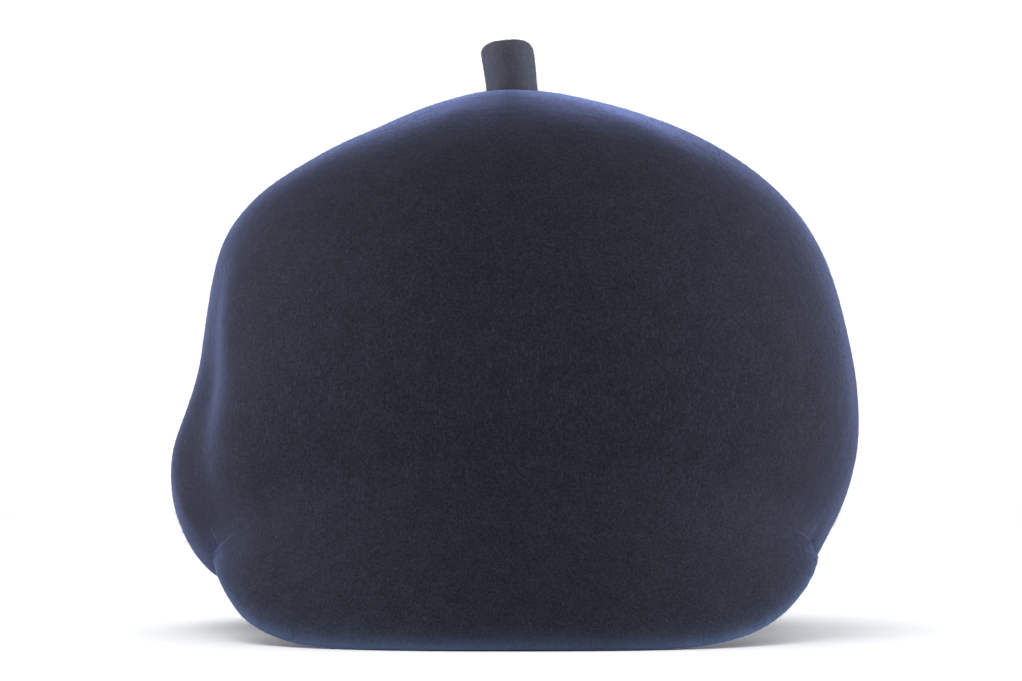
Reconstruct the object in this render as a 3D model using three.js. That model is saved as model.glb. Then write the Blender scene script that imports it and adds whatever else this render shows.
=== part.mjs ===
// A blocked felt cap: a ballooning crown that overhangs a deep, steep peak, with a short felt stalk on top.
// It rests on a table, on the peak's lower edge and on the back of the crown.
// Millimetres, +Z up. The peak points to -Y, and +X is on the right of someone who looks at the peak.
import * as THREE from "three";

// Crown
const CROWN_WIDTH = 230; // across its widest part
const CROWN_FRONT = 118; // furthest reach ahead of the stalk
const CROWN_BACK = 137; // furthest reach behind the stalk
const CROWN_TOP = 178; // height of the seat under the stalk
const FELT = 2.4; // thickness of the crown's felt
const TABLE_SAG = 1.5; // how far the back would hang below the table, which flattens it

// Height of the crown's lowest line, where the felt turns under
const FOLD_FRONT = 53;
const FOLD_LEFT = 16;
const FOLD_RIGHT = 18;
const FOLD_LIFT_POWER = 1.25; // how evenly that line climbs from the sides to the front

// Head opening: an oval in a plane that climbs to the front
const HEAD_WIDTH = 162;
const HEAD_LENGTH = 194;
const HEAD_HEIGHT = 36; // of its middle
const HEAD_TILT = 14.45; // degrees
const BAND_HEIGHT = 10; // felt turned up inside the opening

// Peak
const PEAK_REACH = 137; // of its lower edge, ahead of the stalk
const PEAK_HALF_WIDTH = 100;
const PEAK_SQUARENESS = 2.6; // exponent of its outline, seen from above
const PEAK_CORNER_END = 98; // from the middle to where the edge would stand upright
const PEAK_FLAT_LEFT = 55; // the lower edge lies flat from the middle to here
const PEAK_FLAT_RIGHT = 45;
const PEAK_CORNER_HEIGHT = 41; // of the rounded corners, seen from the front
const PEAK_CORNER_SQUARENESS = 2.2; // exponent of those corners; 2 is a quarter of an ellipse
const PEAK_THICKNESS = 3;
// The peak's curve, seen from the side: shares of the way out and down where it bends most
const PEAK_BEND_OUT = 0.4;
const PEAK_BEND_DOWN = 0.5;
const PEAK_ROOT_INSET = 4; // from the head opening to the hidden edge of the peak
const PEAK_NOTCH_ANGLE = 68; // degrees from the front, where the edge goes under the crown
const PEAK_NOTCH_START = 0.8; // share of that angle where the edge starts to turn in
const PEAK_TIP_ANGLE = 82; // degrees from the front, where the hidden tips end
const PEAK_TIP_SHARE = 0.35; // of the hidden strip's width that is left at its tips
const PEAK_HEM = 2; // width of the finest strip along the edge

// Stalk
const STALK_RADIUS = 9.2;
const STALK_OFFSET = 1; // from the crown's middle, to the left
const STALK_HEIGHT = 18;
const STALK_LEAN = 7; // degrees, to the left
const SEAT_MARGIN = 1; // flat felt round the stalk's foot
const SEAT_RADIUS = STALK_RADIUS + STALK_OFFSET + SEAT_MARGIN;

// Clearances between pieces that touch
const STALK_GAP = 0.3;
const PEAK_GAP = 0.6;

// Sections of the crown from the top to its lowest line.
// height: share of the way up from the lowest line to the top.
// front, left, right, back: share of the crown's reach that way.
// square: exponent of the section's outline in front; 2 is an ellipse.
const CROWN_SECTIONS = [
  { height: 0.985, front: 0.22, left: 0.17, right: 0.193, back: 0.2, square: 2 },
  { height: 0.95, front: 0.38, left: 0.285, right: 0.335, back: 0.362, square: 2 },
  { height: 0.9, front: 0.53, left: 0.425, right: 0.51, back: 0.507, square: 2.05 },
  { height: 0.82, front: 0.69, left: 0.64, right: 0.69, back: 0.667, square: 2.15 },
  { height: 0.7, front: 0.83, left: 0.829, right: 0.843, back: 0.812, square: 2.3 },
  { height: 0.55, front: 0.925, left: 0.88, right: 0.924, back: 0.92, square: 2.4 },
  { height: 0.4, front: 0.98, left: 0.903, right: 0.963, back: 0.986, square: 2.5 },
  { height: 0.3, front: 1, left: 0.942, right: 0.974, back: 1, square: 2.55 },
  { height: 0.22, front: 1, left: 0.979, right: 0.969, back: 0.989, square: 2.6 },
  { height: 0.13, front: 0.994, left: 0.978, right: 0.937, back: 0.953, square: 2.6 },
  { height: 0.06, front: 0.983, left: 0.937, right: 0.888, back: 0.9, square: 2.6 },
  { height: 0.015, front: 0.971, left: 0.885, right: 0.852, back: 0.85, square: 2.6 },
  { height: 0, front: 0.96, left: 0.85, right: 0.822, back: 0.81, square: 2.6 },
];

// The felt from the lowest line in to the head opening.
// inward and rise: shares of the way in and up.
const TUCK_SECTIONS = [
  { inward: 0.28, rise: 0.1 },
  { inward: 0.62, rise: 0.46 },
  { inward: 0.9, rise: 0.83 },
  { inward: 1, rise: 1 },
];

// Sections of the stalk from its foot up.
// radius: share of its greatest radius. height: share of its height.
const STALK_SECTIONS = [
  { radius: 0.94, height: 0 },
  { radius: 0.96, height: 0.35 },
  { radius: 1, height: 0.83 },
  { radius: 0.9, height: 0.95 },
  { radius: 0.67, height: 1 },
];

// Soft dents in the crown. angle: degrees, counted from the right towards the back.
// height and tall: where the dent lies and its extent, as shares of the crown's height.
// depth: share of the crown's width. wide: its extent in degrees.
const DENTS = [
  { angle: 214, height: 0.22, depth: 0.042, wide: 9, tall: 0.2 },
  { angle: 292, height: 0.6, depth: 0.01, wide: 26, tall: 0.24 },
  { angle: 58, height: 0.5, depth: 0.012, wide: 20, tall: 0.25 },
];

// How fine the facets are
const CROWN_COLUMNS = 64;
const STEPS_PER_SECTION = 2;
const PEAK_COLUMNS = 40;
const PEAK_HIDDEN_ROWS = 6;
const PEAK_SHOWN_ROWS = 6;
const PEAK_PATH_STEPS = 12;
const STALK_COLUMNS = 24;

const radians = THREE.MathUtils.degToRad;
const mix = THREE.MathUtils.lerp;
const FRONT_ANGLE = -Math.PI / 2;

// Distance from the axis to an oval outline, in the direction of angle.
function ovalRadius(angle, sideways, lengthways, power) {
  const x = Math.abs(Math.cos(angle)) / sideways;
  const y = Math.abs(Math.sin(angle)) / lengthways;
  return (x ** power + y ** power) ** (-1 / power);
}

// Height of the crown's lowest line in the direction of angle.
function foldHeight(angle) {
  const c = Math.cos(angle);
  const s = Math.sin(angle);
  const side = mix(FOLD_LEFT, FOLD_RIGHT, (1 + c) / 2);
  if (s < 0) return mix(side, FOLD_FRONT, (-s) ** FOLD_LIFT_POWER);
  return mix(side, -TABLE_SAG, s * s);
}

// Height of the head opening's plane at y.
function headHeight(y) {
  return HEAD_HEIGHT - y * Math.tan(radians(HEAD_TILT));
}

// How far the dents push the crown in at one place.
function dentDepth(angle, height) {
  let depth = 0;
  for (const dent of DENTS) {
    const away = angle - radians(dent.angle) + Math.PI;
    const turn = THREE.MathUtils.euclideanModulo(away, 2 * Math.PI) - Math.PI;
    const across = turn / radians(dent.wide);
    const along = (height - dent.height) / dent.tall;
    depth += dent.depth * CROWN_WIDTH * Math.exp(-across * across - along * along);
  }
  return depth;
}

// The crown's outer face in one upright half-plane through the axis, from the seat to the band's top.
function crownProfile(angle) {
  const c = Math.cos(angle);
  const s = Math.sin(angle);
  const fold = foldHeight(angle);
  const points = [new THREE.Vector3(SEAT_RADIUS, 0, CROWN_TOP)];
  for (const row of CROWN_SECTIONS) {
    const sideways = (CROWN_WIDTH / 2) * (c < 0 ? row.left : row.right);
    const lengthways = s < 0 ? CROWN_FRONT * row.front : CROWN_BACK * row.back;
    const power = s < 0 ? row.square : 2;
    const radius = ovalRadius(angle, sideways, lengthways, power) - dentDepth(angle, row.height);
    points.push(new THREE.Vector3(radius, 0, mix(fold, CROWN_TOP, row.height)));
  }
  const headRadius = ovalRadius(angle, HEAD_WIDTH / 2, HEAD_LENGTH / 2, 2);
  const opening = headHeight(headRadius * s);
  const foldRadius = points[points.length - 1].x;
  for (const row of TUCK_SECTIONS) {
    const radius = mix(foldRadius, headRadius, row.inward);
    points.push(new THREE.Vector3(radius, 0, mix(fold, opening, row.rise)));
  }
  points.push(new THREE.Vector3(headRadius, 0, opening + BAND_HEIGHT));
  return new THREE.CatmullRomCurve3(points, false, "centripetal");
}

const PROFILE_SPANS = CROWN_SECTIONS.length + TUCK_SECTIONS.length + 1;
const FOLD_SHARE = CROWN_SECTIONS.length / PROFILE_SPANS;
const OPENING_SHARE = (PROFILE_SPANS - 1) / PROFILE_SPANS;

// A point of the crown's outer face. share runs along the profile; the table flattens what would go below it.
function crownPoint(angle, share) {
  const p = crownProfile(angle).getPoint(share);
  return new THREE.Vector3(p.x * Math.cos(angle), p.x * Math.sin(angle), Math.max(p.z, 0));
}

// Unit normals of a grid of points, from its neighbours. Rows run down a profile and columns round the axis.
function gridNormals(grid, closed) {
  const rows = grid.length;
  const columns = grid[0].length;
  const wrap = (j) => (closed ? (j + columns) % columns : THREE.MathUtils.clamp(j, 0, columns - 1));
  return grid.map((row, i) =>
    row.map((_, j) => {
      const down = grid[Math.min(i + 1, rows - 1)][j].clone().sub(grid[Math.max(i - 1, 0)][j]);
      const along = row[wrap(j + 1)].clone().sub(row[wrap(j - 1)]);
      return down.cross(along).normalize();
    }),
  );
}

// Gathers vertices and triangles of one closed mesh.
class Skin {
  constructor() {
    this.positions = [];
    this.triangles = [];
  }

  point(p) {
    this.positions.push(p.x, p.y, p.z);
    return this.positions.length / 3 - 1;
  }

  ring(points) {
    return points.map((p) => this.point(p));
  }

  quad(a, b, c, d) {
    this.triangles.push(a, b, c, a, c, d);
  }

  // Joins two rows of vertices. The first row lies above the second on a face that is seen from outside.
  strip(upper, lower, closed) {
    const columns = upper.length;
    const last = closed ? columns : columns - 1;
    for (let j = 0; j < last; j++) {
      const k = (j + 1) % columns;
      this.quad(upper[j], lower[j], lower[k], upper[k]);
    }
  }

  // Closes a ring with a fan round a middle vertex.
  cap(middle, ring, facesUp) {
    for (let j = 0; j < ring.length; j++) {
      const k = (j + 1) % ring.length;
      if (facesUp) this.triangles.push(middle, ring[j], ring[k]);
      else this.triangles.push(middle, ring[k], ring[j]);
    }
  }

  geometry() {
    const made = new THREE.BufferGeometry();
    made.setAttribute("position", new THREE.Float32BufferAttribute(this.positions, 3));
    made.setIndex(this.triangles);
    made.computeVertexNormals();
    return made;
  }
}

// The crown: an outer face, the same face moved in by the felt's thickness, and the cut edge between them.
function crownGeometry() {
  const steps = PROFILE_SPANS * STEPS_PER_SECTION;
  const outer = [];
  for (let i = 0; i <= steps; i++) {
    const row = [];
    for (let j = 0; j < CROWN_COLUMNS; j++) {
      row.push(crownPoint((2 * Math.PI * j) / CROWN_COLUMNS, i / steps));
    }
    outer.push(row);
  }
  const normals = gridNormals(outer, true);
  const inwards = (p, i, j) => p.clone().addScaledVector(normals[i][j], -FELT);
  const inner = outer.map((row, i) => row.map((p, j) => inwards(p, i, j)));

  const skin = new Skin();
  const outerRings = outer.map((row) => skin.ring(row));
  const innerRings = inner.map((row) => skin.ring(row));
  skin.cap(skin.point(new THREE.Vector3(0, 0, CROWN_TOP)), outerRings[0], true);
  skin.cap(skin.point(new THREE.Vector3(0, 0, CROWN_TOP - FELT)), innerRings[0], false);
  for (let i = 0; i < steps; i++) {
    skin.strip(outerRings[i], outerRings[i + 1], true);
    skin.strip(innerRings[i + 1], innerRings[i], true);
  }
  skin.strip(outerRings[steps], innerRings[steps], true);
  return skin.geometry();
}

// The peak's lower edge in the direction that lies turn away from the front.
function peakEdge(turn, fold) {
  const angle = FRONT_ANGLE + turn;
  const side = Math.sin(turn);
  const notch = radians(PEAK_NOTCH_ANGLE);
  const outline = ovalRadius(angle, PEAK_HALF_WIDTH, PEAK_REACH, PEAK_SQUARENESS);
  const foldRadius = Math.hypot(fold.x, fold.y);
  const shown = 1 - THREE.MathUtils.smoothstep(Math.abs(turn), PEAK_NOTCH_START * notch, notch);
  const radius = mix(foldRadius, Math.max(outline, foldRadius), shown);
  const flat = side < 0 ? PEAK_FLAT_LEFT : PEAK_FLAT_RIGHT;
  const corner = THREE.MathUtils.clamp((Math.abs(radius * side) - flat) / (PEAK_CORNER_END - flat), 0, 1);
  const power = PEAK_CORNER_SQUARENESS;
  const rise = PEAK_CORNER_HEIGHT * (1 - (1 - corner ** power) ** (1 / power));
  const height = mix(fold.z, Math.min(rise, fold.z), shown);
  return new THREE.Vector3(radius * Math.cos(angle), radius * Math.sin(angle), height);
}

// The peak's upper face along one direction: under the crown's turned-in felt, then out and down to the edge.
function peakPath(turn) {
  const angle = FRONT_ANGLE + turn;
  const tiny = 1e-3;
  const beside = (share) => {
    const p = crownPoint(angle, share);
    const along = crownPoint(angle + tiny, share).sub(p);
    const down = crownPoint(angle, share + tiny).sub(p);
    return p.addScaledVector(down.cross(along).normalize(), PEAK_GAP);
  };
  const notch = radians(PEAK_NOTCH_ANGLE);
  const tip = radians(PEAK_TIP_ANGLE);
  const hidden = THREE.MathUtils.clamp((tip - Math.abs(turn)) / (tip - notch), 0, 1);
  const headRadius = ovalRadius(angle, HEAD_WIDTH / 2, HEAD_LENGTH / 2, 2);
  const foldRadius = Math.hypot(beside(FOLD_SHARE).x, beside(FOLD_SHARE).y);
  const inset = PEAK_ROOT_INSET / Math.max(foldRadius - headRadius, 2 * PEAK_ROOT_INSET);
  const root = mix(OPENING_SHARE, FOLD_SHARE, inset);
  const reach = mix(root, FOLD_SHARE, mix(PEAK_TIP_SHARE, 1, hidden));
  const points = [];
  for (let i = 0; i <= PEAK_PATH_STEPS; i++) points.push(beside(mix(root, reach, i / PEAK_PATH_STEPS)));
  if (hidden === 1) {
    const start = points[points.length - 1];
    const end = peakEdge(turn, start);
    const bend = start.clone().lerp(end, PEAK_BEND_OUT).setZ(mix(start.z, end.z, PEAK_BEND_DOWN));
    const visible = new THREE.QuadraticBezierCurve3(start, bend, end);
    for (let i = 1; i <= PEAK_PATH_STEPS; i++) points.push(visible.getPoint(i / PEAK_PATH_STEPS));
  }
  return points;
}

// The point at a distance along a chain of points.
function pointAlong(points, distance) {
  let left = distance;
  for (let i = 1; i < points.length; i++) {
    const span = points[i].distanceTo(points[i - 1]);
    if (left <= span || i === points.length - 1) return points[i - 1].clone().lerp(points[i], left / span);
    left -= span;
  }
  return points[0];
}

function chainLength(points) {
  let length = 0;
  for (let i = 1; i < points.length; i++) length += points[i].distanceTo(points[i - 1]);
  return length;
}

// One column of the peak's upper face. Where the peak shows, one row lies at the crown's lowest line.
function peakColumn(turn) {
  const points = peakPath(turn);
  const whole = chainLength(points);
  const covered = Math.min(chainLength(points.slice(0, PEAK_PATH_STEPS + 1)), whole - PEAK_HEM);
  const column = [];
  for (let i = 0; i <= PEAK_HIDDEN_ROWS; i++) {
    column.push(pointAlong(points, (covered * i) / PEAK_HIDDEN_ROWS));
  }
  for (let i = 1; i <= PEAK_SHOWN_ROWS; i++) {
    column.push(pointAlong(points, mix(covered, whole, i / PEAK_SHOWN_ROWS)));
  }
  return column;
}

// The peak: its upper face, its lower face, and the edges that close them.
function peakGeometry() {
  const columns = [];
  for (let j = 0; j <= PEAK_COLUMNS; j++) {
    columns.push(peakColumn(radians(PEAK_TIP_ANGLE) * ((2 * j) / PEAK_COLUMNS - 1)));
  }
  const rows = PEAK_HIDDEN_ROWS + PEAK_SHOWN_ROWS;
  const upper = [];
  for (let i = 0; i <= rows; i++) upper.push(columns.map((column) => column[i]));
  const normals = gridNormals(upper, false);
  const lower = upper.map((row, i) =>
    row.map((p, j) => {
      const n = normals[i][j].clone();
      if (i === rows) n.setZ(0).normalize();
      return p.clone().addScaledVector(n, -PEAK_THICKNESS);
    }),
  );

  const skin = new Skin();
  const upperRows = upper.map((row) => skin.ring(row));
  const lowerRows = lower.map((row) => skin.ring(row));
  for (let i = 0; i < rows; i++) {
    skin.strip(upperRows[i], upperRows[i + 1], false);
    skin.strip(lowerRows[i + 1], lowerRows[i], false);
    skin.quad(upperRows[i][0], lowerRows[i][0], lowerRows[i + 1][0], upperRows[i + 1][0]);
    const end = PEAK_COLUMNS;
    skin.quad(upperRows[i][end], upperRows[i + 1][end], lowerRows[i + 1][end], lowerRows[i][end]);
  }
  skin.strip(lowerRows[0], upperRows[0], false);
  skin.strip(upperRows[rows], lowerRows[rows], false);
  return skin.geometry();
}

// The stalk: a short round post that leans, with a softly rounded top.
function stalkGeometry() {
  const foot = CROWN_TOP + STALK_GAP;
  const lean = Math.tan(radians(STALK_LEAN));
  const place = (radius, turn, height) => {
    const middle = -STALK_OFFSET - lean * height;
    return new THREE.Vector3(middle + radius * Math.cos(turn), radius * Math.sin(turn), foot + height);
  };
  const skin = new Skin();
  const rings = STALK_SECTIONS.map((section) => {
    const row = [];
    for (let j = 0; j < STALK_COLUMNS; j++) {
      const turn = (2 * Math.PI * j) / STALK_COLUMNS;
      row.push(place(section.radius * STALK_RADIUS, turn, section.height * STALK_HEIGHT));
    }
    return skin.ring(row);
  });
  for (let i = 1; i < rings.length; i++) skin.strip(rings[i], rings[i - 1], true);
  skin.cap(skin.point(place(0, 0, STALK_HEIGHT)), rings[rings.length - 1], true);
  skin.cap(skin.point(place(0, 0, 0)), rings[0], false);
  return skin.geometry();
}

function feltMaterial(color) {
  return new THREE.MeshStandardMaterial({ color, roughness: 0.95, metalness: 0 });
}

function piece(name, geometry, color) {
  const mesh = new THREE.Mesh(geometry, feltMaterial(color));
  mesh.name = name;
  return mesh;
}

const hat = new THREE.Group();
hat.add(piece("crown", crownGeometry(), 0x1c2033));
hat.add(piece("peak", peakGeometry(), 0x1b1f30));
hat.add(piece("stalk", stalkGeometry(), 0x1e2029));

// The origin is the middle of the hat's footprint, on the table.
const bounds = new THREE.Box3().setFromObject(hat);
const middle = bounds.getCenter(new THREE.Vector3());
hat.position.set(-middle.x, -middle.y, 0);

export default hat;
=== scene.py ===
import math
from typing import NamedTuple

import bmesh
import bpy
import numpy as np
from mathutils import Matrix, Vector, noise
from mathutils.bvhtree import BVHTree


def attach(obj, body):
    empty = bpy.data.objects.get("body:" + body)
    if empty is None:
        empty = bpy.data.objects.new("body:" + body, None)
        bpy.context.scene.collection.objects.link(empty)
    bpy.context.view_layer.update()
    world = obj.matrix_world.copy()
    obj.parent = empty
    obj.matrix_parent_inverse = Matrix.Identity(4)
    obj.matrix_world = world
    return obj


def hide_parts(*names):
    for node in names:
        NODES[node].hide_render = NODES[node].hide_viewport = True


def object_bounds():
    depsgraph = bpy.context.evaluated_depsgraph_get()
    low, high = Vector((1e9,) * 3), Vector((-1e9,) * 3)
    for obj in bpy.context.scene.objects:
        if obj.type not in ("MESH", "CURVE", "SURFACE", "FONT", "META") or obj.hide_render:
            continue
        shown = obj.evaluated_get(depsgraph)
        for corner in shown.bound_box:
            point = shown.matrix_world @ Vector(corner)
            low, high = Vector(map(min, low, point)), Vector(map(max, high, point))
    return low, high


# A dark navy felt hat: a ballooning crown over a steep peak, with a rolled felt stalk on top.
# Metres, +Z up. The peak points to -Y.

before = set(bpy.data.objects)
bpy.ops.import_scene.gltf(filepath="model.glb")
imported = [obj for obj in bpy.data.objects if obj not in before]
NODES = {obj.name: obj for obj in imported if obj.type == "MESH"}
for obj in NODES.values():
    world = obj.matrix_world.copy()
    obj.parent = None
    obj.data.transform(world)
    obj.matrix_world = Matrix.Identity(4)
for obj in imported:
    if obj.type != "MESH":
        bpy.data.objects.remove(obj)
cad_low, cad_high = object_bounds()
HAT_MIDDLE = cad_high.z / 2
MM = 0.001
BLACK = (0.0, 0.0, 0.0)
WHITE = (1.0, 1.0, 1.0)


class Swelling(NamedTuple):
    """A low broad rise of the felt: degrees round the hat from its front, and millimetres."""

    turn: float
    height: float
    rise: float
    width: float
    tall: float


class Lamp(NamedTuple):
    """A round soft light: where it is, what it points at, how wide it is, its watts and its colour."""

    name: str
    place: tuple
    aim: tuple
    size: float
    power: float
    color: tuple


# Camera: low in front of the peak, looking a little up
CAMERA_PLACE = (-0.001, -0.9, 0.045)
CAMERA_AIM = (-0.001, 0.0, 0.0955)
CAMERA_LENS = 95.0
SENSOR_WIDTH = 36.0
NEAREST_SEEN = 0.01

# Stage
FLOOR_SIZE = 12.0
HAT_AIM = (0, 0, 0.1)
LOW_AIM = (0, -0.05, 0.03)
COOL_WHITE = (0.85, 0.9, 1.0)
LAMPS = [
    Lamp("key", place=(-0.5, -0.7, 1.3), aim=HAT_AIM, size=1.0, power=5, color=WHITE),
    Lamp("overhead", place=(-0.3, 0.2, 1.5), aim=HAT_AIM, size=1.0, power=0.8, color=WHITE),
    Lamp("left_low", place=(-0.95, -0.1, 0.06), aim=LOW_AIM, size=0.3, power=11, color=COOL_WHITE),
    Lamp("right_low", place=(0.95, -0.05, 0.07), aim=LOW_AIM, size=0.3, power=14, color=COOL_WHITE),
]
WORLD_FRONT = (0.58, 0.58, 0.59)
WORLD_FRONT_END = 0.25  # share of the way from front to back where the world starts to brighten
WORLD_BACK_START = 0.6  # and where it has become white
WORLD_STRENGTH = 1.25

# Meshes made from the solids
MERGE_DISTANCE = 0.002 * MM
QUAD_FACE_ANGLE = math.radians(60)
QUAD_SHAPE_ANGLE = math.radians(120)
FOOT_TOLERANCE = 0.01 * MM
FELT_LEVELS = 2
STALK_LEVELS = 3

# Soft unevenness of the hand-blocked felt
LUMPS = 0.6 * MM  # height of the lumps on crown and peak
LUMP_SIZE = 42 * MM
STALK_LUMPS = 0.25 * MM
STALK_LUMP_SIZE = 6 * MM
SMALL_LUMP_SHARE = 0.5  # height of the smaller lumps on top of them, as a share of theirs
SMALL_LUMP_FINENESS = 2.3  # how many times smaller these are
LUMP_FADE = 6  # lumps grow to full height over this many times their height above the table

# Swellings of crown and peak, and those of the peak alone, at its two upper corners
SWELLINGS = [
    Swelling(turn=-1, height=140, rise=0.7, width=6, tall=22),
    Swelling(turn=33, height=151, rise=0.8, width=8, tall=12),
    Swelling(turn=-51, height=92, rise=3.0, width=8, tall=24),
    Swelling(turn=-56, height=58, rise=1.8, width=10, tall=16),
]
PEAK_SWELLINGS = SWELLINGS + [
    Swelling(turn=-63, height=27, rise=1.9, width=8, tall=9),
    Swelling(turn=62, height=28, rise=2.1, width=8, tall=9),
]

# Stalk
STALK_DOME = 0.9 * MM  # how much higher the middle of its top is than its edge
STALK_TILT = 0.07  # slope of its top
STALK_RISE = 0.6 * MM
STALK_SINK = 1.0 * MM  # its foot is sewn into the crown
STALK_TOP = 0.9  # share of its height above which a corner belongs to its top
STALK_SHAPED = 0.5  # share of its height above which the shape of the top begins
STALK_ROOT = 0.2  # share of its height below which it is pulled into the crown

# The front's profile, measured in degrees from the front and in millimetres of height
PROFILE_TURN = 86.0
PROFILE_TURN_STEP = 1.0
PROFILE_LOW = -1.0
PROFILE_HIGH = 100.0
PROFILE_STEP = 0.5
RAY_LENGTH = 0.3
LEAST_WEIGHT = 1e-6
LAST_CELL = 1.001  # keeps a place within the last cell of the profile's tables

# The crown and the peak run into each other along a soft crease
CREASE_GAP_STEPS = 5  # gaps up to twice this many steps of the profile are filled
CREASE_SOFTNESS = 4 * MM
CREASE_TRIM = 0.6 * MM  # the most that the lips beside the crease are lowered
CREASE_REACH = 17 * MM  # how far above and below the crease the felt gives way
CREASE_SLOPE = 1.6  # how quickly it stops giving way towards the end of that reach
CREASE_FULL = math.radians(60)  # the crease is soft to here on both sides of the front
CREASE_END = math.radians(70)
CREASE_SKIN = 1.5 * MM  # felt no deeper than this moves as its face does
CREASE_DEPTH = 7 * MM  # over this further depth the movement fades

# A strip of felt closes the narrow gap in the crease
STRIP_END = math.radians(67)
STRIP_TAPER = math.radians(5)  # it narrows over this turn at both ends
STRIP_HALF = 6.5 * MM  # the most that it reaches below the crease, and beyond the least above it
STRIP_LEAST_ABOVE = 1 * MM
STRIP_LEAST_BELOW = 0.2 * MM
STRIP_BELOW_SHARE = 0.8  # of the way from the crease to the peak's edge
STRIP_PROUD = 0.12 * MM
STRIP_FALL = 0.8 * MM  # how much deeper its edges lie than its middle
STRIP_THICKNESS = 0.8 * MM
STRIP_COLUMNS = 269
STRIP_ROWS = 21

# Nap: short fibres that stand out of the felt
NAP_LENGTH = 0.9 * MM
NAP_EVENNESS = 6.0  # the higher, the more alike the lengths
NAP_WIDTH = 0.055 * MM
NAP_SINK = 0.15 * MM
NAP_LEAST_LIFT = 0.25  # 0 lies along the felt, 1 stands straight up
CROWN_FIBRES = 45000
PEAK_FIBRES = 15000
STALK_FIBRES = 1500
HOLLOW_MIDDLE = 60 * MM  # height of the point that the hat's outside faces away from
LEAST_AREA = 1e-15
LEAST_LENGTH = 1e-9

# Felt
NAVY = {"dark": (0.0145, 0.0148, 0.021), "light": (0.019, 0.0192, 0.0272), "hair": (0.03, 0.032, 0.048)}
NAVY_EDGE_SHEEN = (0.045, 0.07, 0.13)  # painted sheen: bluish light added along the peak's lower edge, standing in for the light it catches from below
# how far from the peak's edge the painted sheen reaches
EDGE_SHEEN_WIDTH = 2 * MM
# The stalk's felt is painted much lighter than the crown's: painted light, standing in for the backlight
# that flares on it
STALK_BACKLIT_NAVY = {"dark": (0.056, 0.058, 0.073), "light": (0.064, 0.066, 0.082), "hair": (0.072, 0.073, 0.089)}
STALK_GRIP = 0.4  # how strongly its grain shows beside the crown's
FIBRE_COLOR = (0.03, 0.033, 0.05)
FELT_SHEEN = 0.68
STALK_SHEEN = 0.03
FIBRE_SHEEN = 0.5
SHEEN_ROUGHNESS = 0.22
SHEEN_TINT = (0.38, 0.48, 1.0)
GRAIN_DARK = (0.6, 0.6, 0.56)
GRAIN_LIGHT = (1.32, 1.34, 1.45)
HAIR_STRETCH = (1.0, 1.0, 0.12)
HAIR_TURNS = [(0.5, 0.6, 0.0), (0.2, 1.5, 0.4)]  # radians; the hairs cross each other

# How fine each layer of a material is, in cells of noise to a metre
MOTTLE_SCALE = 120.0
GRAIN_SCALE = 1500.0
HAIR_SCALE = 2600.0
SOFT_BUMP_SCALE = 260.0
FINE_BUMP_SCALE = 1700.0
FIBRE_SCALE = 700.0
FLOOR_SCALE = 6.0


def link(obj):
    bpy.context.scene.collection.objects.link(obj)
    return obj


def facing(place, aim):
    """The rotation of a camera or lamp that looks from one place to another."""
    return (Vector(aim) - Vector(place)).to_track_quat("-Z", "Y").to_euler()


def smoothstep(x):
    x = np.clip(x, 0.0, 1.0)
    return x * x * (3 - 2 * x)


# Materials


class Shader:
    """A material's node tree, with short calls for the nodes that the felt needs."""

    def __init__(self, name):
        self.material = bpy.data.materials.new(name)
        self.material.use_nodes = True
        self.tree = self.material.node_tree
        self.surface = self.tree.nodes["Principled BSDF"]
        self.place = self.node("ShaderNodeTexCoord").outputs["Object"]

    def node(self, kind, **settings):
        made = self.tree.nodes.new(kind)
        for key, value in settings.items():
            setattr(made, key, value)
        return made

    def join(self, start, end):
        self.tree.links.new(start, end)

    def noise(self, scale, detail=3.0, rough=0.5, distortion=0.0, place=None):
        made = self.node("ShaderNodeTexNoise")
        made.inputs["Scale"].default_value = scale
        made.inputs["Detail"].default_value = detail
        made.inputs["Roughness"].default_value = rough
        made.inputs["Distortion"].default_value = distortion
        self.join(place or self.place, made.inputs["Vector"])
        return made.outputs["Fac"]

    def ramp(self, value, *stops):
        made = self.node("ShaderNodeValToRGB")
        self.join(value, made.inputs["Fac"])
        elements = made.color_ramp.elements
        for element, (place, color) in zip(elements, stops, strict=True):
            element.position = place
            element.color = (*color, 1.0)
        return made.outputs["Color"]

    def stretched(self, turn, stretch):
        made = self.node("ShaderNodeMapping")
        made.inputs["Rotation"].default_value = turn
        made.inputs["Scale"].default_value = stretch
        self.join(self.place, made.inputs["Vector"])
        return made.outputs["Vector"]

    def blend(self, amount, first, second, mode="MIX"):
        made = self.node("ShaderNodeMix", data_type="RGBA", blend_type=mode)
        sockets = {socket.identifier: socket for socket in (*made.inputs, *made.outputs)}
        for target, value in (("Factor_Float", amount), ("A_Color", first), ("B_Color", second)):
            if isinstance(value, bpy.types.NodeSocket):
                self.join(value, sockets[target])
            elif target == "Factor_Float":
                sockets[target].default_value = value
            else:
                sockets[target].default_value = (*value, 1.0)
        return sockets["Result_Color"]

    def bump(self, height, strength, depth, below=None):
        made = self.node("ShaderNodeBump")
        made.inputs["Strength"].default_value = strength
        made.inputs["Distance"].default_value = depth
        self.join(height, made.inputs["Height"])
        if below is not None:
            self.join(below, made.inputs["Normal"])
        return made.outputs["Normal"]

    def matt(self, color, rough, specular):
        self.join(color, self.surface.inputs["Base Color"])
        self.surface.inputs["Roughness"].default_value = rough
        self.surface.inputs["Specular IOR Level"].default_value = specular

    def bloom(self, sheen):
        """The bluish light that wool catches at grazing angles."""
        self.surface.inputs["Sheen Weight"].default_value = sheen
        self.surface.inputs["Sheen Roughness"].default_value = SHEEN_ROUGHNESS
        self.surface.inputs["Sheen Tint"].default_value = (*SHEEN_TINT, 1.0)


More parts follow.
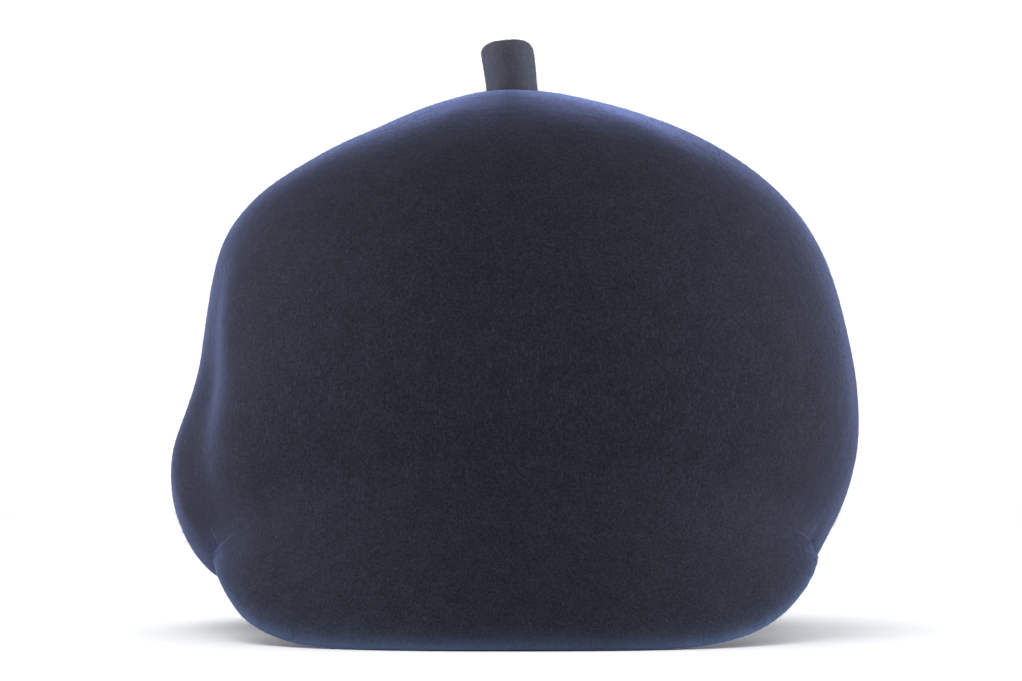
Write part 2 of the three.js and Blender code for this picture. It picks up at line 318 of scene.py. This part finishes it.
def felt_material(name, dark, light, hair, sheen, grip=1.0, edge_sheen=None):
    """Felt: mottled wool with a fine grain, and lighter hairs that cross each other. Where asked, a painted
    bluish sheen is added near the peak's edge.
    """
    s = Shader(name)

    def swing(color):
        """A colour of the grain, nearer to one where the felt has less grip."""
        return tuple(1 + grip * (c - 1) for c in color)

    mottle = s.ramp(s.noise(MOTTLE_SCALE, detail=5.0, rough=0.65), (0.3, dark), (0.7, light))
    speckle = s.noise(GRAIN_SCALE, rough=0.7)
    grain = s.ramp(speckle, (0.36, swing(GRAIN_DARK)), (0.66, swing(GRAIN_LIGHT)))
    wool = s.blend(1.0, mottle, grain, "MULTIPLY")
    ways = []
    for turn in HAIR_TURNS:
        strands = s.noise(HAIR_SCALE, detail=2.0, distortion=0.6, place=s.stretched(turn, HAIR_STRETCH))
        ways.append(s.ramp(strands, (0.62, BLACK), (0.74, WHITE)))
    hairs = s.blend(1.0, *ways, "LIGHTEN")
    color = s.blend(hairs, wool, hair)
    # Painted sheen: bluish light added near the peak's lower edge, standing in for the rim it catches from
    # below
    if edge_sheen:
        amount = s.node("ShaderNodeAttribute", attribute_name="edge_sheen").outputs["Fac"]
        color = s.blend(1.0, color, s.ramp(amount, (0.0, BLACK), (1.0, edge_sheen)), "ADD")
    s.matt(color, rough=0.95, specular=0.08)
    s.bloom(sheen)
    soft = s.bump(s.noise(SOFT_BUMP_SCALE, detail=4.0, rough=0.6), 0.3 * grip, 0.5 * MM)
    fine = s.bump(s.noise(FINE_BUMP_SCALE, rough=0.75), 0.75 * grip, 0.15 * MM, below=soft)
    s.join(s.bump(hairs, 0.25 * grip, 0.06 * MM, below=fine), s.surface.inputs["Normal"])
    return s.material


def fibre_material(name, color):
    """The nap's fibres, some of them half as light as the others."""
    s = Shader(name)
    shade = s.ramp(s.noise(FIBRE_SCALE, detail=1.0), (0.35, tuple(0.5 * c for c in color)), (0.7, color))
    s.matt(shade, rough=0.9, specular=0.15)
    s.bloom(FIBRE_SHEEN)
    return s.material


def floor_material():
    s = Shader("floor")
    shade = s.ramp(s.noise(FLOOR_SCALE, detail=2.0), (0.3, (0.94, 0.94, 0.945)), (0.7, (0.96, 0.96, 0.965)))
    s.matt(shade, rough=0.8, specular=0.1)
    return s.material


# Stage


def make_camera():
    data = bpy.data.cameras.new("camera")
    data.lens = CAMERA_LENS
    data.sensor_width = SENSOR_WIDTH
    data.clip_start = NEAREST_SEEN
    camera = link(bpy.data.objects.new("camera", data))
    camera.location = CAMERA_PLACE
    camera.rotation_euler = facing(CAMERA_PLACE, CAMERA_AIM)
    bpy.context.scene.camera = camera


def make_floor():
    bpy.ops.mesh.primitive_plane_add(size=FLOOR_SIZE)
    floor = bpy.context.object
    floor.name = "floor"
    floor.data.materials.append(floor_material())


def make_world():
    """Bright soft light from all round, a little less from in front."""
    world = bpy.data.worlds.new("studio")
    bpy.context.scene.world = world
    world.use_nodes = True
    tree = world.node_tree
    background = tree.nodes["Background"]
    where = tree.nodes.new("ShaderNodeTexCoord")
    split = tree.nodes.new("ShaderNodeSeparateXYZ")
    share = tree.nodes.new("ShaderNodeMapRange")
    ramp = tree.nodes.new("ShaderNodeValToRGB")
    share.inputs["From Min"].default_value = -1.0
    share.inputs["From Max"].default_value = 1.0
    front, back = ramp.color_ramp.elements
    front.position = WORLD_FRONT_END
    front.color = (*WORLD_FRONT, 1.0)
    back.position = WORLD_BACK_START
    back.color = (*WHITE, 1.0)
    background.inputs["Strength"].default_value = WORLD_STRENGTH
    tree.links.new(where.outputs["Generated"], split.inputs["Vector"])
    tree.links.new(split.outputs["Y"], share.inputs["Value"])
    tree.links.new(share.outputs["Result"], ramp.inputs["Fac"])
    tree.links.new(ramp.outputs["Color"], background.inputs["Color"])


def make_lamp(lamp):
    data = bpy.data.lights.new(lamp.name, "AREA")
    data.shape = "DISK"
    data.size = lamp.size
    data.energy = lamp.power
    data.color = lamp.color
    light = link(bpy.data.objects.new(lamp.name, data))
    light.location = lamp.place
    light.rotation_euler = facing(lamp.place, lamp.aim)
    light.visible_camera = False


# Felt pieces


def even_mesh(node, name, crisp_foot):
    """A copy of a solid's mesh with shared corners and four-sided faces."""
    mesh = NODES[node].data.copy()
    mesh.name = name
    mesh.materials.clear()
    work = bmesh.new()
    work.from_mesh(mesh)
    bmesh.ops.remove_doubles(work, verts=work.verts, dist=MERGE_DISTANCE)
    bmesh.ops.join_triangles(
        work,
        faces=work.faces,
        angle_face_threshold=QUAD_FACE_ANGLE,
        angle_shape_threshold=QUAD_SHAPE_ANGLE,
        cmp_seam=False,
        cmp_sharp=False,
        cmp_uvs=False,
        cmp_vcols=False,
        cmp_materials=False,
    )
    if crisp_foot:
        foot = min(v.co.z for v in work.verts)
        creases = work.edges.layers.float.new("crease_edge")
        for edge in work.edges:
            edge[creases] = float(all(v.co.z < foot + FOOT_TOLERANCE for v in edge.verts))
    work.to_mesh(mesh)
    work.free()
    return mesh


def applied(obj):
    """Turns an object's modifiers into plain mesh."""
    graph = bpy.context.evaluated_depsgraph_get()
    mesh = bpy.data.meshes.new_from_object(obj.evaluated_get(graph))
    mesh.name = obj.name
    obj.modifiers.clear()
    obj.data = mesh
    return obj


def rounded(node, levels, crisp_foot=False):
    """A solid's own form with soft edges."""
    name = f"{node}_felt"
    obj = link(bpy.data.objects.new(name, even_mesh(node, name, crisp_foot)))
    smooth = obj.modifiers.new("smooth", "SUBSURF")
    smooth.levels = levels
    smooth.render_levels = levels
    return applied(obj)


def places(obj):
    """The corners of a mesh as an array."""
    flat = np.empty(len(obj.data.vertices) * 3)
    obj.data.vertices.foreach_get("co", flat)
    return flat.reshape(-1, 3)


def put(obj, corners):
    obj.data.vertices.foreach_set("co", corners.ravel())
    obj.data.update()


def uneven(obj, lumps, lump_size, swellings=()):
    """The soft unevenness of hand-blocked felt, which fades out at the table."""
    forms = []
    for s in swellings:
        forms.append((math.radians(s.turn), s.height * MM, s.rise * MM, math.radians(s.width), s.tall * MM))
    corners = places(obj)
    for i, co in enumerate(corners):
        point = Vector(co)
        outward = Vector((point.x, point.y, point.z - HAT_MIDDLE)).normalized()
        height = noise.noise(point / lump_size)
        height += SMALL_LUMP_SHARE * noise.noise(point * SMALL_LUMP_FINENESS / lump_size)
        level = min(1.0, max(0.0, point.z / (LUMP_FADE * lumps)))
        moved = lumps * height * level
        turn = math.atan2(point.x, -point.y)
        for way, middle, rise, width, tall in forms:
            moved += rise * math.exp(-(((turn - way) / width) ** 2) - ((point.z - middle) / tall) ** 2)
        corners[i] += np.array(outward) * moved
    put(obj, corners)


def finished(obj, material, node=None):
    obj.data.shade_smooth()
    obj.data.materials.append(material)
    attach(obj, "root")
    if node:
        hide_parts(node)


def shape_stalk(obj):
    """Domes the stalk's top and sews its foot into the crown."""
    corners = places(obj)
    low, high = corners[:, 2].min(), corners[:, 2].max()
    share = (corners[:, 2] - low) / (high - low)
    top = corners[share > STALK_TOP]
    middle = (top.min(0) + top.max(0)) / 2
    widest = (top.max(0) - top.min(0)).max() / 2
    away = np.hypot(corners[:, 0] - middle[0], corners[:, 1] - middle[1]) / widest
    drop = STALK_DOME * np.minimum(away, 1) ** 3
    drop += STALK_TILT * (widest - corners[:, 0] + middle[0]) - STALK_RISE
    corners[:, 2] -= drop * smoothstep((share - STALK_SHAPED) / (1 - STALK_SHAPED))
    corners[:, 2] -= STALK_SINK * smoothstep((STALK_ROOT - share) / STALK_ROOT)
    put(obj, corners)


# Crease between crown and peak


class Crease:
    """The crown's front and the peak as one soft profile: how far out it lies, by turn and by height."""

    def __init__(self, crown, peak):
        end = PROFILE_TURN + PROFILE_TURN_STEP / 2
        self.turns = np.radians(np.arange(-PROFILE_TURN, end, PROFILE_TURN_STEP))
        self.heights = np.arange(PROFILE_LOW, PROFILE_HIGH, PROFILE_STEP) * MM
        self.shown = np.abs(self.turns) < CREASE_END
        crown_reach = self.reach(crown)
        peak_reach = self.reach(peak)
        lowest = np.isfinite(peak_reach).argmax(1)
        self.edge = self.heights[lowest]
        self.edge_radius = peak_reach[np.arange(len(self.turns)), lowest]
        rows = np.arange(len(self.heights))
        peak_shows = np.nan_to_num(peak_reach) > np.nan_to_num(crown_reach)
        line = self.heights[np.where(peak_shows, rows, 0).max(1)]
        self.line = np.interp(self.turns, self.turns[self.shown], line[self.shown])
        front = np.fmax(crown_reach, peak_reach)
        known = np.isfinite(front)
        front = np.where(known, self.closed(np.where(known, front, 0)), np.nan)
        size = CREASE_SOFTNESS / (self.heights[1] - self.heights[0])
        window = np.exp(-0.5 * ((rows[:, None] - rows[None]) / size) ** 2)
        soft = (np.where(known, front, 0) @ window) / np.maximum(known @ window, LEAST_WEIGHT)
        self.front = np.where(known, front, soft)
        self.give = np.maximum(soft - self.front, -CREASE_TRIM)

    def reach(self, obj):
        """How far out an object's face lies, or nan where it has none."""
        tree = BVHTree.FromPolygons(places(obj).tolist(), [face.vertices for face in obj.data.polygons])
        table = np.full((len(self.turns), len(self.heights)), np.nan)
        for i, turn in enumerate(self.turns):
            way = Vector((math.sin(turn), -math.cos(turn), 0))
            for j, height in enumerate(self.heights):
                start = way * RAY_LENGTH + Vector((0, 0, height))
                hit = tree.ray_cast(start, -way, RAY_LENGTH)[0]
                if hit:
                    table[i, j] = math.hypot(hit.x, hit.y)
        return table

    @staticmethod
    def closed(profile):
        """Fills narrow gaps, and nothing else."""

        def slid(table, pick):
            wide = np.pad(table, ((0, 0), (CREASE_GAP_STEPS, CREASE_GAP_STEPS)), mode="edge")
            shifts = range(2 * CREASE_GAP_STEPS + 1)
            return pick([wide[:, k:k + table.shape[1]] for k in shifts], axis=0)

        return slid(slid(profile, np.max), np.min)

    def paint_edge_sheen(self, obj):
        """Marks how near each corner of the peak's mesh lies to its lower edge, for the painted sheen along
        it.
        """
        turn, radius = self.turns[self.shown], self.edge_radius[self.shown]
        edge = np.stack([radius * np.sin(turn), -radius * np.cos(turn), self.edge[self.shown]], axis=1)
        away = np.linalg.norm(places(obj)[:, None] - edge[None], axis=2).min(1)
        marks = obj.data.attributes.new("edge_sheen", "FLOAT", "POINT")
        marks.data.foreach_set("value", np.exp(-away / EDGE_SHEEN_WIDTH))

    def sample(self, table, turn, height):
        """Values of a table between its grid points."""
        columns, rows = table.shape
        i = np.clip(np.interp(turn, self.turns, np.arange(columns)), 0, columns - LAST_CELL)
        j = np.clip(np.interp(height, self.heights, np.arange(rows)), 0, rows - LAST_CELL)
        a, b = i.astype(int), j.astype(int)
        u, v = i - a, j - b
        low = table[a, b] * (1 - v) + table[a, b + 1] * v
        high = table[a + 1, b] * (1 - v) + table[a + 1, b + 1] * v
        return low * (1 - u) + high * u

    def shift(self, turn, height):
        """How far the felt's face moves out at one place."""
        away = np.abs(height - np.interp(turn, self.turns, self.line)) / CREASE_REACH
        near = smoothstep(CREASE_SLOPE - CREASE_SLOPE * away)
        side = smoothstep((CREASE_END - np.abs(turn)) / (CREASE_END - CREASE_FULL))
        return self.sample(self.give, turn, height) * near * side

    def soften(self, obj):
        """Moves a piece's felt to the soft profile near the crease."""
        corners = places(obj)
        radius = np.hypot(corners[:, 0], corners[:, 1])
        turn = np.arctan2(corners[:, 0], -corners[:, 1])
        depth = self.sample(self.front, turn, corners[:, 2]) - radius
        held = smoothstep(1 - (depth - CREASE_SKIN) / CREASE_DEPTH)
        moved = self.shift(turn, corners[:, 2]) * held
        corners[:, :2] *= (1 + moved / np.maximum(radius, MM))[:, None]
        put(obj, corners)

    def strip(self, name):
        """Felt that closes the crease, with its edges under the faces beside it."""
        turns = np.linspace(-STRIP_END, STRIP_END, STRIP_COLUMNS)
        shares = np.linspace(-1, 1, STRIP_ROWS)
        turn, share = np.meshgrid(turns, shares, indexing="ij")
        line = np.interp(turn, self.turns, self.line)
        side = smoothstep((STRIP_END - np.abs(turn)) / STRIP_TAPER)
        above = STRIP_LEAST_ABOVE + STRIP_HALF * side
        room = STRIP_BELOW_SHARE * (line - np.interp(turn, self.turns, self.edge))
        below = np.clip(room, STRIP_LEAST_BELOW, STRIP_HALF)
        height = line + share * np.where(share > 0, above, below)
        radius = self.sample(self.front, turn, height) + self.shift(turn, height)
        radius += STRIP_PROUD - STRIP_FALL * np.abs(share) ** 3 - (1 - side) * STRIP_FALL
        sheets = []
        for r in (radius, radius - STRIP_THICKNESS):
            sheets.append(np.stack([r * np.sin(turn), -r * np.cos(turn), height], axis=-1).reshape(-1, 3))
        mesh = bpy.data.meshes.new(name)
        mesh.from_pydata(np.concatenate(sheets).tolist(), [], sheet_faces(*turn.shape))
        return link(bpy.data.objects.new(name, mesh))


def sheet_faces(columns, rows):
    """The faces of a thin sheet: an outer grid of corners, an inner one, and the rim that joins them."""
    count = columns * rows
    index = np.arange(count).reshape(columns, rows)
    cell = (index[:-1, :-1], index[1:, :-1], index[1:, 1:], index[:-1, 1:])
    outer = np.stack([corner.ravel() for corner in cell], axis=1)
    inner = outer[:, ::-1] + count
    loop = np.concatenate([index[:, 0], index[-1, 1:], index[-2::-1, -1], index[0, -2:0:-1]])
    after = np.roll(loop, -1)
    rim = np.stack([after, loop, loop + count, after + count], axis=1)
    return np.concatenate([outer, inner, rim]).tolist()


# Nap


def outer_skin(middle, normal):
    """One where the felt faces away from the hat's hollow and stands clear of the table."""
    outward = (middle * normal)[:, :2].sum(1) + (middle[:, 2] - HOLLOW_MIDDLE) * normal[:, 2] > 0
    return (outward & (middle[:, 2] > NAP_LENGTH)).astype(float)


def triangle_corners(obj):
    """The first, second and third corners of a mesh's triangles."""
    mesh = obj.data
    mesh.calc_loop_triangles()
    triangles = np.empty(len(mesh.loop_triangles) * 3, dtype=np.int64)
    mesh.loop_triangles.foreach_get("vertices", triangles)
    corners = places(obj)[triangles.reshape(-1, 3)]
    return corners[:, 0], corners[:, 1], corners[:, 2]


def needle_mesh(name, foot, tip, side, third):
    """Needles with three-sided feet."""
    feet = [foot + side * NAP_WIDTH / 2, foot - side * NAP_WIDTH / 2, foot + third * NAP_WIDTH]
    corners = np.stack([*feet, tip], axis=1).reshape(-1, 3)
    needle = np.array([[0, 1, 2], [1, 0, 3], [2, 1, 3], [0, 2, 3]])
    faces = (needle[None] + 4 * np.arange(len(foot))[:, None, None]).reshape(-1, 3)
    mesh = bpy.data.meshes.new(name)
    mesh.from_pydata(corners.tolist(), [], faces.tolist())
    return mesh


def nap(base, name, seed, count, material):
    """Short needles, rooted in the felt, which give it its fuzzy outline."""
    rng = np.random.default_rng(seed)
    a, b, c = triangle_corners(base)
    cross = np.cross(b - a, c - a)
    area = np.linalg.norm(cross, axis=1) / 2
    normal = cross / np.maximum(2 * area, LEAST_AREA)[:, None]
    weight = area * outer_skin((a + b + c) / 3, normal)
    chosen = rng.choice(len(weight), count, p=weight / weight.sum())
    u, v = rng.random((2, count))
    over = u + v > 1
    u[over], v[over] = 1 - u[over], 1 - v[over]
    n = normal[chosen]
    root = a[chosen] + u[:, None] * (b - a)[chosen] + v[:, None] * (c - a)[chosen]
    sway = rng.normal(size=(count, 3))
    sway -= (sway * n).sum(1)[:, None] * n
    sway /= np.linalg.norm(sway, axis=1)[:, None]
    lift = rng.uniform(NAP_LEAST_LIFT, 1.0, count)[:, None]
    way = n * lift + sway * np.sqrt(1 - lift**2)
    side = np.cross(way, n)
    side /= np.maximum(np.linalg.norm(side, axis=1), LEAST_LENGTH)[:, None]
    third = np.cross(side, way)
    length = NAP_LENGTH * rng.gamma(NAP_EVENNESS, 1 / NAP_EVENNESS, count)[:, None]
    foot = root - n * NAP_SINK
    tip = root + way * length
    clear = tip[:, 2] > 0
    mesh = needle_mesh(name, foot[clear], tip[clear], side[clear], third[clear])
    mesh.materials.append(material)
    obj = link(bpy.data.objects.new(name, mesh))
    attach(obj, "root")


# The scene

make_camera()
make_floor()
make_world()
for lamp in LAMPS:
    make_lamp(lamp)

crown_felt = felt_material("crown_felt", **NAVY, sheen=FELT_SHEEN)
peak_felt = felt_material("peak_felt", **NAVY, sheen=FELT_SHEEN, edge_sheen=NAVY_EDGE_SHEEN)
stalk_felt = felt_material("stalk_felt", **STALK_BACKLIT_NAVY, sheen=STALK_SHEEN, grip=STALK_GRIP)
fibre = fibre_material("felt_fibre", FIBRE_COLOR)

crown = rounded("crown", FELT_LEVELS)
peak = rounded("peak", FELT_LEVELS)
crease = Crease(crown, peak)
strip = crease.strip("crease_felt")
# painted sheen along the peak's lower edge
crease.paint_edge_sheen(peak)
crease.soften(crown)
crease.soften(peak)
uneven(crown, LUMPS, LUMP_SIZE, SWELLINGS)
uneven(peak, LUMPS, LUMP_SIZE, PEAK_SWELLINGS)
uneven(strip, LUMPS, LUMP_SIZE, SWELLINGS)
finished(crown, crown_felt, "crown")
finished(peak, peak_felt, "peak")
finished(strip, crown_felt)

stalk = rounded("stalk", STALK_LEVELS, crisp_foot=True)
shape_stalk(stalk)
uneven(stalk, STALK_LUMPS, STALK_LUMP_SIZE)
finished(stalk, stalk_felt, "stalk")

nap(crown, "crown_nap", 11, CROWN_FIBRES, fibre)
nap(peak, "peak_nap", 12, PEAK_FIBRES, fibre)
nap(stalk, "stalk_nap", 13, STALK_FIBRES, fibre)

bpy.context.scene.view_settings.view_transform = "Standard"
